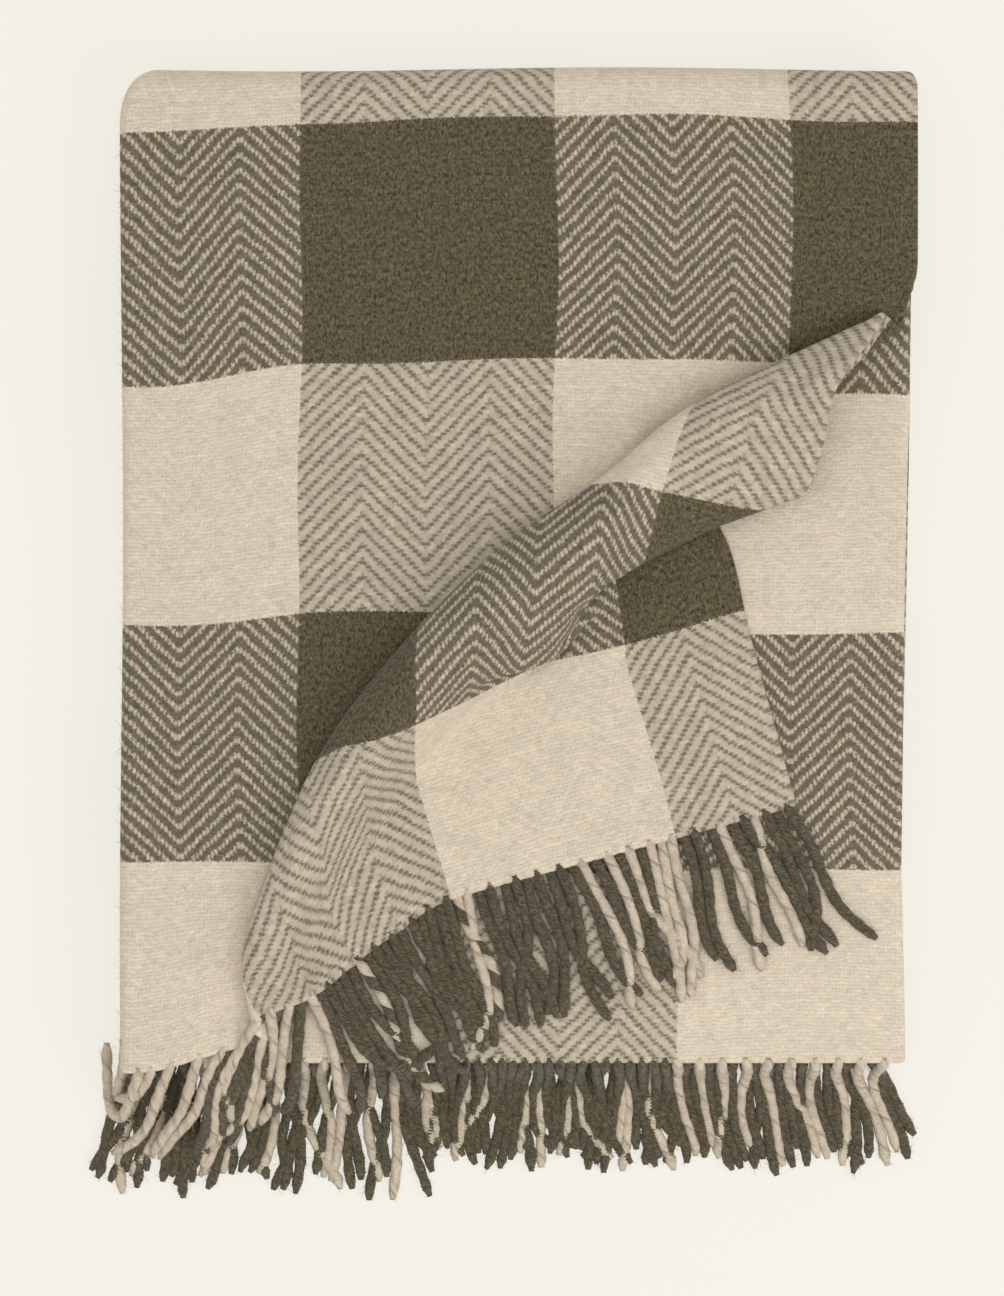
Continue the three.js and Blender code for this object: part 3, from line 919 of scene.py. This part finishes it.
def settle_cords(routes, lengths, on_top, rounds):
    """Lets cords sink onto the ground and onto each other, keeping their lengths and most of their shape."""
    rest = (routes[:, :-2] + routes[:, 2:]) / 2 - routes[:, 1:-1]
    routes = routes.copy()
    step = (lengths / (CORD_NODES - 1))[:, None]
    owner = np.repeat(np.arange(len(routes)), CORD_NODES)
    apart = owner[:, None] != owner[None, :]
    reach = 2 * CORD_RADIUS * PRESSED_SHARE
    for turn in range(rounds):
        routes[:, 2:, 2] -= SINK
        lean = (routes[:, :-2] + routes[:, 2:]) / 2 - routes[:, 1:-1] - rest
        routes[:, 2:-1] += STIFFNESS * lean[:, 1:]
        if turn % 3 == 0:
            flat = routes.reshape(-1, 3).astype(np.float32)
            square = (flat ** 2).sum(1)
            distance = square[:, None] + square[None, :] - 2 * flat @ flat.T
            first, second = np.nonzero((distance < reach ** 2) & apart)
            gap = flat[first] - flat[second] + np.array([0, 0, 1e-3], np.float32)
            size = size_of(gap, 1e-3)
            push = np.zeros_like(flat)
            np.add.at(push, first, 0.25 * (reach - size) * gap / size)
            push *= np.minimum(1, FARTHEST_PUSH / size_of(push))
            push = push.reshape(routes.shape)
            push[:, :2] = 0
            routes += push
        for k in range(2, CORD_NODES):
            gap = routes[:, k] - routes[:, k - 1]
            routes[:, k] = routes[:, k - 1] + gap / size_of(gap) * step
        floor_height = ground_height(routes[:, 2:, 0], routes[:, 2:, 1], on_top)
        routes[:, 2:, 2] = np.maximum(routes[:, 2:, 2], floor_height + CORD_RADIUS)
    for _ in range(SMOOTHINGS):
        mean = (routes[:, 1:-3] + routes[:, 3:-1]) / 2
        routes[:, 2:-2] += 0.5 * (mean - routes[:, 2:-2])
    return routes


def cord_tubes(name, routes, colours, around=10, per_span=2, radius=CORD_RADIUS):
    """Two-ply twisted cords as one object. colours: "cream", "olive" or "mixed" for each.

    Also returns the surface's places, directions, uvs and material numbers, for the nap.
    """
    verts, quads, uvs, materials, normals, kinds = [], [], [], [], [], []
    offset = 0
    for route, colour in zip(routes, colours):
        path = catmull(route, per_span)
        tangent = unit(np.gradient(path, axis=0))
        side = unit(np.cross(tangent, [0, 0, 1.0]) + np.array([1e-4, 0, 0]))
        up = np.cross(side, tangent)
        run = path_run(path)
        left = run[-1] - run
        size = radius * (0.85 + 0.15 * ease(run / 5)) * (0.5 + 0.5 * ease(left / 5))
        size = size * (1.02 + 0.05 * np.sin(run / 7.1 + offset) + 0.03 * np.sin(run / 2.3 + 2 * offset))
        twist = 2 * math.pi * run / TWIST_LENGTH + offset
        angle = np.linspace(0, 2 * math.pi, around, endpoint=False)
        lobes = 1 + PLY_DEPTH * np.cos(2 * angle)
        direction = angle[None, :] + twist[:, None]
        ring = size[:, None, None] * lobes[None, :, None] * (
            np.cos(direction)[..., None] * side[:, None] + np.sin(direction)[..., None] * up[:, None])
        body = (path[:, None] + ring).reshape(-1, 3)
        body[:, 2] = np.maximum(body[:, 2], 0.1)
        count = len(path)
        ids = np.arange(count * around).reshape(count, around) + offset
        following = np.roll(ids, -1, axis=1)
        tube = np.stack([ids[:-1], following[:-1], following[1:], ids[1:]], -1).reshape(-1, 4)
        caps = []
        for ring_ids, turn_round in ((ids[0], True), (ids[-1], False)):
            for k in range(1, around - 1, 2):
                cap = [ring_ids[0], ring_ids[k], ring_ids[k + 1], ring_ids[k + 2]]
                caps.append(cap[::-1] if turn_round else cap)
        caps = np.array(caps)
        share = np.broadcast_to(np.arange(around) / around, (count, around))
        uv = np.stack([share, np.broadcast_to((run + offset % 97)[:, None], share.shape)], -1).reshape(-1, 2)
        if colour == "mixed":
            half = np.tile((np.arange(around) < around / 2).astype(int), count - 1)
        else:
            half = np.full(len(tube), 1 if colour == "olive" else 0)
        verts.append(body)
        normals.append(unit(ring).reshape(-1, 3))
        kinds.append(np.tile(half[:around], count))
        quads.append(np.concatenate([tube, caps]))
        uvs.append(uv)
        materials.append(np.concatenate([half, np.full(len(caps), half[0])]))
        offset += count * around
    verts, quads, uvs = np.concatenate(verts), np.concatenate(quads), np.concatenate(uvs)
    obj = build_mesh(name, verts, quads, uvs, [cream_cord, olive_cord], np.concatenate(materials))
    return obj, (verts, np.concatenate(normals), uvs, np.concatenate(kinds))


def warp_colour(across):
    """Colour of the warp that a cord is made from."""
    return "olive" if math.floor(float(checks_across(np.array(across)))) % 2 == 0 else "cream"


def ground_height(x, y, on_top):
    """Height of what lies under a cord. The top layer's cords lie on the layer below and on its cords."""
    inner_top = FRONT_LEVELS[1] + HALF_CLOTH - 0.4
    on_stack = (y > NEAR_EDGE - 1) & (np.abs(x) < RIGHT_EDGE - 3)
    beside = ease((np.abs(x) - RIGHT_EDGE + 6) / 20)
    past_edge = inner_top * (1 - ease((NEAR_EDGE - y) / DROP_LENGTH)) * (1 - beside)
    return np.where(on_stack, inner_top, np.where(on_top[:, None], past_edge, 0.0))


class Fringe:
    """Cords gathered for one settling, kept with the piece that each belongs to."""

    def __init__(self):
        self.routes, self.lengths, self.colours, self.owners = [], [], [], []

    def add(self, owner, root, heading_degrees, length, colour, bend=0.0, wave=0.2, drop=None, hook=0.0):
        drop = root[2] - CORD_RADIUS if drop is None else drop
        phase = rng.uniform(0, 2 * math.pi)
        route = cord_route(root, math.radians(heading_degrees), length, drop, bend, wave, phase, hook)
        self.routes.append(route)
        self.lengths.append(length)
        self.colours.append(colour)
        self.owners.append(owner)

    def settle(self, rounds):
        on_top = np.array([owner in ("flat", "flap") for owner in self.owners])
        self.routes = settle_cords(np.array(self.routes), np.array(self.lengths), on_top, rounds)

    def build(self, owner, name, **detail):
        chosen = [k for k, value in enumerate(self.owners) if value == owner]
        return cord_tubes(name, [self.routes[k] for k in chosen], [self.colours[k] for k in chosen], **detail)


# Headings of the corner flap's cords, in degrees, by the cloth x that each hangs from.
FLAP_HEADINGS = ([-155, -140, -115, -96, -80, -57, -20, 20, 60, 105, 143, 170, 210],
                 [250, 246, 244, 256, 288, 300, 300, 286, 286, 294, 280, 294, 297])
# Cords of the flap that aren't their warp's colour, by place from the right-hand selvedge.
FLAP_COLOURS = {"cream": (3, 6, 10, 11, 46, 48, 50, 52), "olive": (20, 21, 22, 23, 24, 25, 26),
                "mixed": (29, 40)}


def top_layer_fringe(fringe):
    """Cords of the pulled-back corner and of the flat stretch left of it."""
    edge = top_points[0, :len(top_flat_x)]
    inward = top_points[2, :len(top_flat_x)] - edge
    for k, cloth_x in enumerate(np.arange(207, -203, -CORD_PITCH / 2)):
        place = int(np.argmin(np.abs(top_flat_x - cloth_x)))
        root = edge[place] + 1.5 * unit(inward[place])
        lower_row = k % 2 == 1
        colour = warp_colour(RIGHT_EDGE - cloth_x)
        if cloth_x < -188:
            fringe.add("flat", root, 268, rng.uniform(90, 98), "cream", 0, 0.1, hook=rng.uniform(-3.1, -2.9))
            continue
        if cloth_x < -150:
            if not lower_row:
                heading = 252 + rng.uniform(-6, 6)
                fringe.add("flat", root, heading, rng.uniform(76, 88), "cream", rng.uniform(-0.8, 0), 0.3)
            continue
        if lower_row:
            root = root - np.array([0, 0, 1.5])
            colour = "olive"
        for other_colour, cords in FLAP_COLOURS.items():
            if k in cords:
                colour = other_colour
        heading = np.interp(cloth_x, *FLAP_HEADINGS) + rng.uniform(-6, 6)
        drop = 0.5 if cloth_x > -60 else root[2] - CORD_RADIUS
        length = rng.uniform(78, 90) - 6 * lower_row
        fringe.add("flap", root, heading, length, colour, rng.uniform(-0.3, 0.3), 0.34, drop)


def front_lower_fringes(fringe):
    """Cords of the two lower front layers. Between the cream ones the olive yarn shows."""
    layers = (("inner", FRONT_LEVELS[1], INNER_ACROSS), ("lower", FRONT_LEVELS[2], LOWER_ACROSS))
    for owner, level, first_across in layers:
        for k, x in enumerate(np.arange(-201, 204, CORD_PITCH / 2)):
            from_bend = RIGHT_BEND - x if owner == "inner" else x - LEFT_BEND
            colour = warp_colour(first_across + from_bend)
            if k % 2 == 1:
                if owner == "inner" and colour == "cream":
                    continue
                colour = "olive"
            scale = right_scale(NEAR_EDGE) if x > 0 else 1
            root = np.array([x * scale, NEAR_EDGE + 1, level])
            heading = 268 + 14 * x / 200 + rng.uniform(-9, 9)
            length = rng.uniform(72, 86) + 13 * (x < -60)
            fringe.add("under", root, heading, length, colour, rng.uniform(-0.4, 0.6), rng.uniform(0.15, 0.5))


def back_fringe(fringe):
    """Cords at the far end of the cloth, inside the stack under the top fold."""
    for x in np.arange(-198, 204, CORD_PITCH):
        across_places = (RIGHT_EDGE - x, INNER_ACROSS + RIGHT_BEND - x, LOWER_ACROSS + x - LEFT_BEND)
        for level, across in zip(BACK_LEVELS, across_places):
            root = np.array([x, BACK_END - 1, level])
            heading = 90 + rng.uniform(-2, 2)
            fringe.add("back", root, heading, rng.uniform(66, 76), warp_colour(across), 0, 0.05, 0)


front_cords = Fringe()
top_layer_fringe(front_cords)
front_lower_fringes(front_cords)
front_cords.settle(90)
flat_fringe, flat_surface = front_cords.build("flat", "front_top_fringe")
flap_fringe, flap_surface = front_cords.build("flap", "corner_flap_fringe")
under_fringe, under_surface = front_cords.build("under", "front_under_fringe")
far_cords = Fringe()
back_fringe(far_cords)
far_fringe, _ = far_cords.build("back", "back_fringe", around=8, per_span=1, radius=PRESSED_RADIUS)

# ---------------------------------------------------------------- nap
FIBRE_THICKNESS = 0.2


def nap(name, roots, normals, uvs, kinds, materials, longest):
    """Loose wool fibres that stand off a surface: thin, curved, closed slivers."""
    count = len(roots)
    drift = unit(rng.normal(size=(count, 3)))
    lean = unit(drift - (drift * normals).sum(1, keepdims=True) * normals)
    curl = unit(rng.normal(size=(count, 3)))
    length = (longest * rng.uniform(0.3, 1.0, count) ** 1.6)[:, None]
    lift = rng.uniform(0.15, 0.75, count)[:, None]
    out = unit(lean + lift * normals)
    side = unit(np.cross(out, normals) + 1e-4)
    up = np.cross(side, out)
    rings = []
    for share in (0.0, 0.35, 0.7, 1.0):
        centre = roots + length * (share * out + 0.35 * share ** 2 * curl) - (1 - share) * 0.3 * normals
        centre[:, 2] = np.maximum(centre[:, 2], 0.2)
        radius = FIBRE_THICKNESS / 2 * (1 - 0.6 * share)
        for corner in range(4):
            turn = corner * math.pi / 2
            rings.append(centre + radius * (math.cos(turn) * side + math.sin(turn) * up))
    cell = []
    for ring in range(3):
        for corner in range(4):
            following = (corner + 1) % 4
            low, high = 4 * ring, 4 * ring + 4
            cell.append([low + corner, low + following, high + following, high + corner])
    cell += [[3, 2, 1, 0], [12, 13, 14, 15]]
    quads = (np.array(cell)[None] + 16 * np.arange(count)[:, None, None]).reshape(-1, 4)
    verts = np.stack(rings, 1).reshape(-1, 3)
    return build_mesh(name, verts, quads, np.repeat(uvs, 16, 0), materials, np.repeat(kinds, len(cell)))


def cloth_nap(name, points, uvs, count, longest):
    """Fibres on a sheet's upper side and round its edges."""
    normal = grid_normals(points)
    rows = rng.integers(0, points.shape[0], count)
    cols = rng.integers(0, points.shape[1], count)
    jitter = rng.normal(size=(count, 3))
    chosen = normal[rows, cols]
    jitter -= (jitter * chosen).sum(1, keepdims=True) * chosen
    roots = points[rows, cols] + HALF_CLOTH * chosen + jitter * 0.8
    return nap(name, roots, chosen, uvs[rows, cols], np.zeros(count, int), [checked], longest)


def cord_nap(name, surface, count, longest):
    """Fibres on a fringe's cords."""
    verts, normals, uvs, kinds = surface
    pick = rng.integers(0, len(verts), count)
    return nap(name, verts[pick], normals[pick], uvs[pick], kinds[pick], [cream_cord, olive_cord], longest)


top_nap = cloth_nap("front_top_nap", top_points, top_uvs, 9000, 6.5)
flat_nap = cord_nap("front_top_fringe_nap", flat_surface, 900, 4.5)
flap_nap = cord_nap("corner_flap_fringe_nap", flap_surface, 7000, 4.5)
under_nap = cord_nap("front_under_fringe_nap", under_surface, 11000, 4.5)

for piece in (top_sheet, top_nap, flap_fringe, flap_nap):
    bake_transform(piece)
for piece in (flat_fringe, flat_nap, under_sheet, under_fringe, under_nap):
    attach(piece, "front_panel")
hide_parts("front_top_layer", "front_corner_ridge", "front_corner_flap", "front_left_fold")
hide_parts("front_top_layer_fringe")
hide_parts("front_corner_flap_fringe")
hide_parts("front_inner_layer", "front_lower_layer", "front_right_fold")
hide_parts("front_inner_layer_fringe", "front_lower_layer_fringe")

for piece, fold, lower_panel, upper_panel, level in (
        (top_fold, "top_fold", "middle_panel", "front_panel", TOP_AXIS),
        (bottom_fold, "bottom_fold", "back_panel", "middle_panel", BOTTOM_AXIS)):
    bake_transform(piece)
    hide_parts(f"{fold}_inner", f"{fold}_middle", f"{fold}_outer")

for piece, panel in ((middle_cloth, "middle"), (back_cloth, "back")):
    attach(piece, f"{panel}_panel")
    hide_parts(f"{panel}_top_layer", f"{panel}_inner_layer", f"{panel}_lower_layer",
                f"{panel}_left_fold", f"{panel}_right_fold")
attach(far_fringe, "back_panel")
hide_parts("back_top_layer_fringe", "back_inner_layer_fringe", "back_lower_layer_fringe")

# ---------------------------------------------------------------- floor, light and camera
FLOOR_SIZE = 60000
FLOOR_GLOW = (0.922, 0.896, 0.823, 1)
FLOOR_COLOUR = (0.2, 0.194, 0.178, 1)
FLOOR_STRENGTH = 0.78
FLOOR_DROP = 0.0005
WORLD_COLOUR = (1, 0.99, 0.97, 1)
WORLD_STRENGTH = 0.58
# Place, size, power and tint of each light.
LIGHTS = {
    "key_light": ((1.2, -0.9, 1.4), 0.9, 11, (1, 0.985, 0.965)),
    "top_light": ((-0.2, -0.1, 2.2), 1.8, 14, (1, 1, 1)),
}
LENS = 85
SENSOR = 36
# Height that the camera sees at the level of the top layer, and where it points.
SEEN_HEIGHT = 0.6877
CAMERA_X = -0.0074
CAMERA_Y = -0.0042


def make_floor():
    """A pale floor that stays light under the throw, as in a lightbox."""
    square = np.array([[0, 0], [1, 0], [1, 1], [0, 1]], float)
    corners = np.concatenate([FLOOR_SIZE * (2 * square - 1), np.zeros((4, 1))], 1)
    n = Nodes("pale_floor")
    looks = {"Base Color": FLOOR_COLOUR, "Roughness": 1.0, "Specular IOR Level": 0.0,
             "Emission Color": FLOOR_GLOW, "Emission Strength": FLOOR_STRENGTH}
    for name, value in looks.items():
        n.shader.inputs[name].default_value = value
    floor = build_mesh("floor", corners, np.array([[0, 1, 2, 3]]), square, [n.material], smooth=False)
    floor.location.z = -FLOOR_DROP


def area_light(name, place, size, power, tint):
    """A soft square light that faces the middle of the throw."""
    data = bpy.data.lights.new(name, "AREA")
    data.size = size
    data.energy = power
    data.color = tint
    light = bpy.data.objects.new(name, data)
    light.location = place
    bpy.context.scene.collection.objects.link(light)
    light.rotation_euler = (-light.location).to_track_quat("-Z", "Y").to_euler()


def make_camera():
    """Looks straight down, with the throw's far end at the top of the picture."""
    data = bpy.data.cameras.new("camera")
    data.lens = LENS
    data.sensor_width = SENSOR
    camera = bpy.data.objects.new("camera", data)
    camera.location = (CAMERA_X, CAMERA_Y, LENS / SENSOR * SEEN_HEIGHT + TOP_LEVEL * METRES)
    bpy.context.scene.collection.objects.link(camera)
    bpy.context.scene.camera = camera


def make_world():
    """A nearly white surrounding light."""
    world = bpy.data.worlds.new("studio")
    world.use_nodes = True
    background = world.node_tree.nodes["Background"]
    background.inputs["Color"].default_value = WORLD_COLOUR
    background.inputs["Strength"].default_value = WORLD_STRENGTH
    bpy.context.scene.world = world
    bpy.context.scene.view_settings.view_transform = "Standard"


make_floor()
for light_name, settings in LIGHTS.items():
    area_light(light_name, *settings)
make_camera()
make_world()
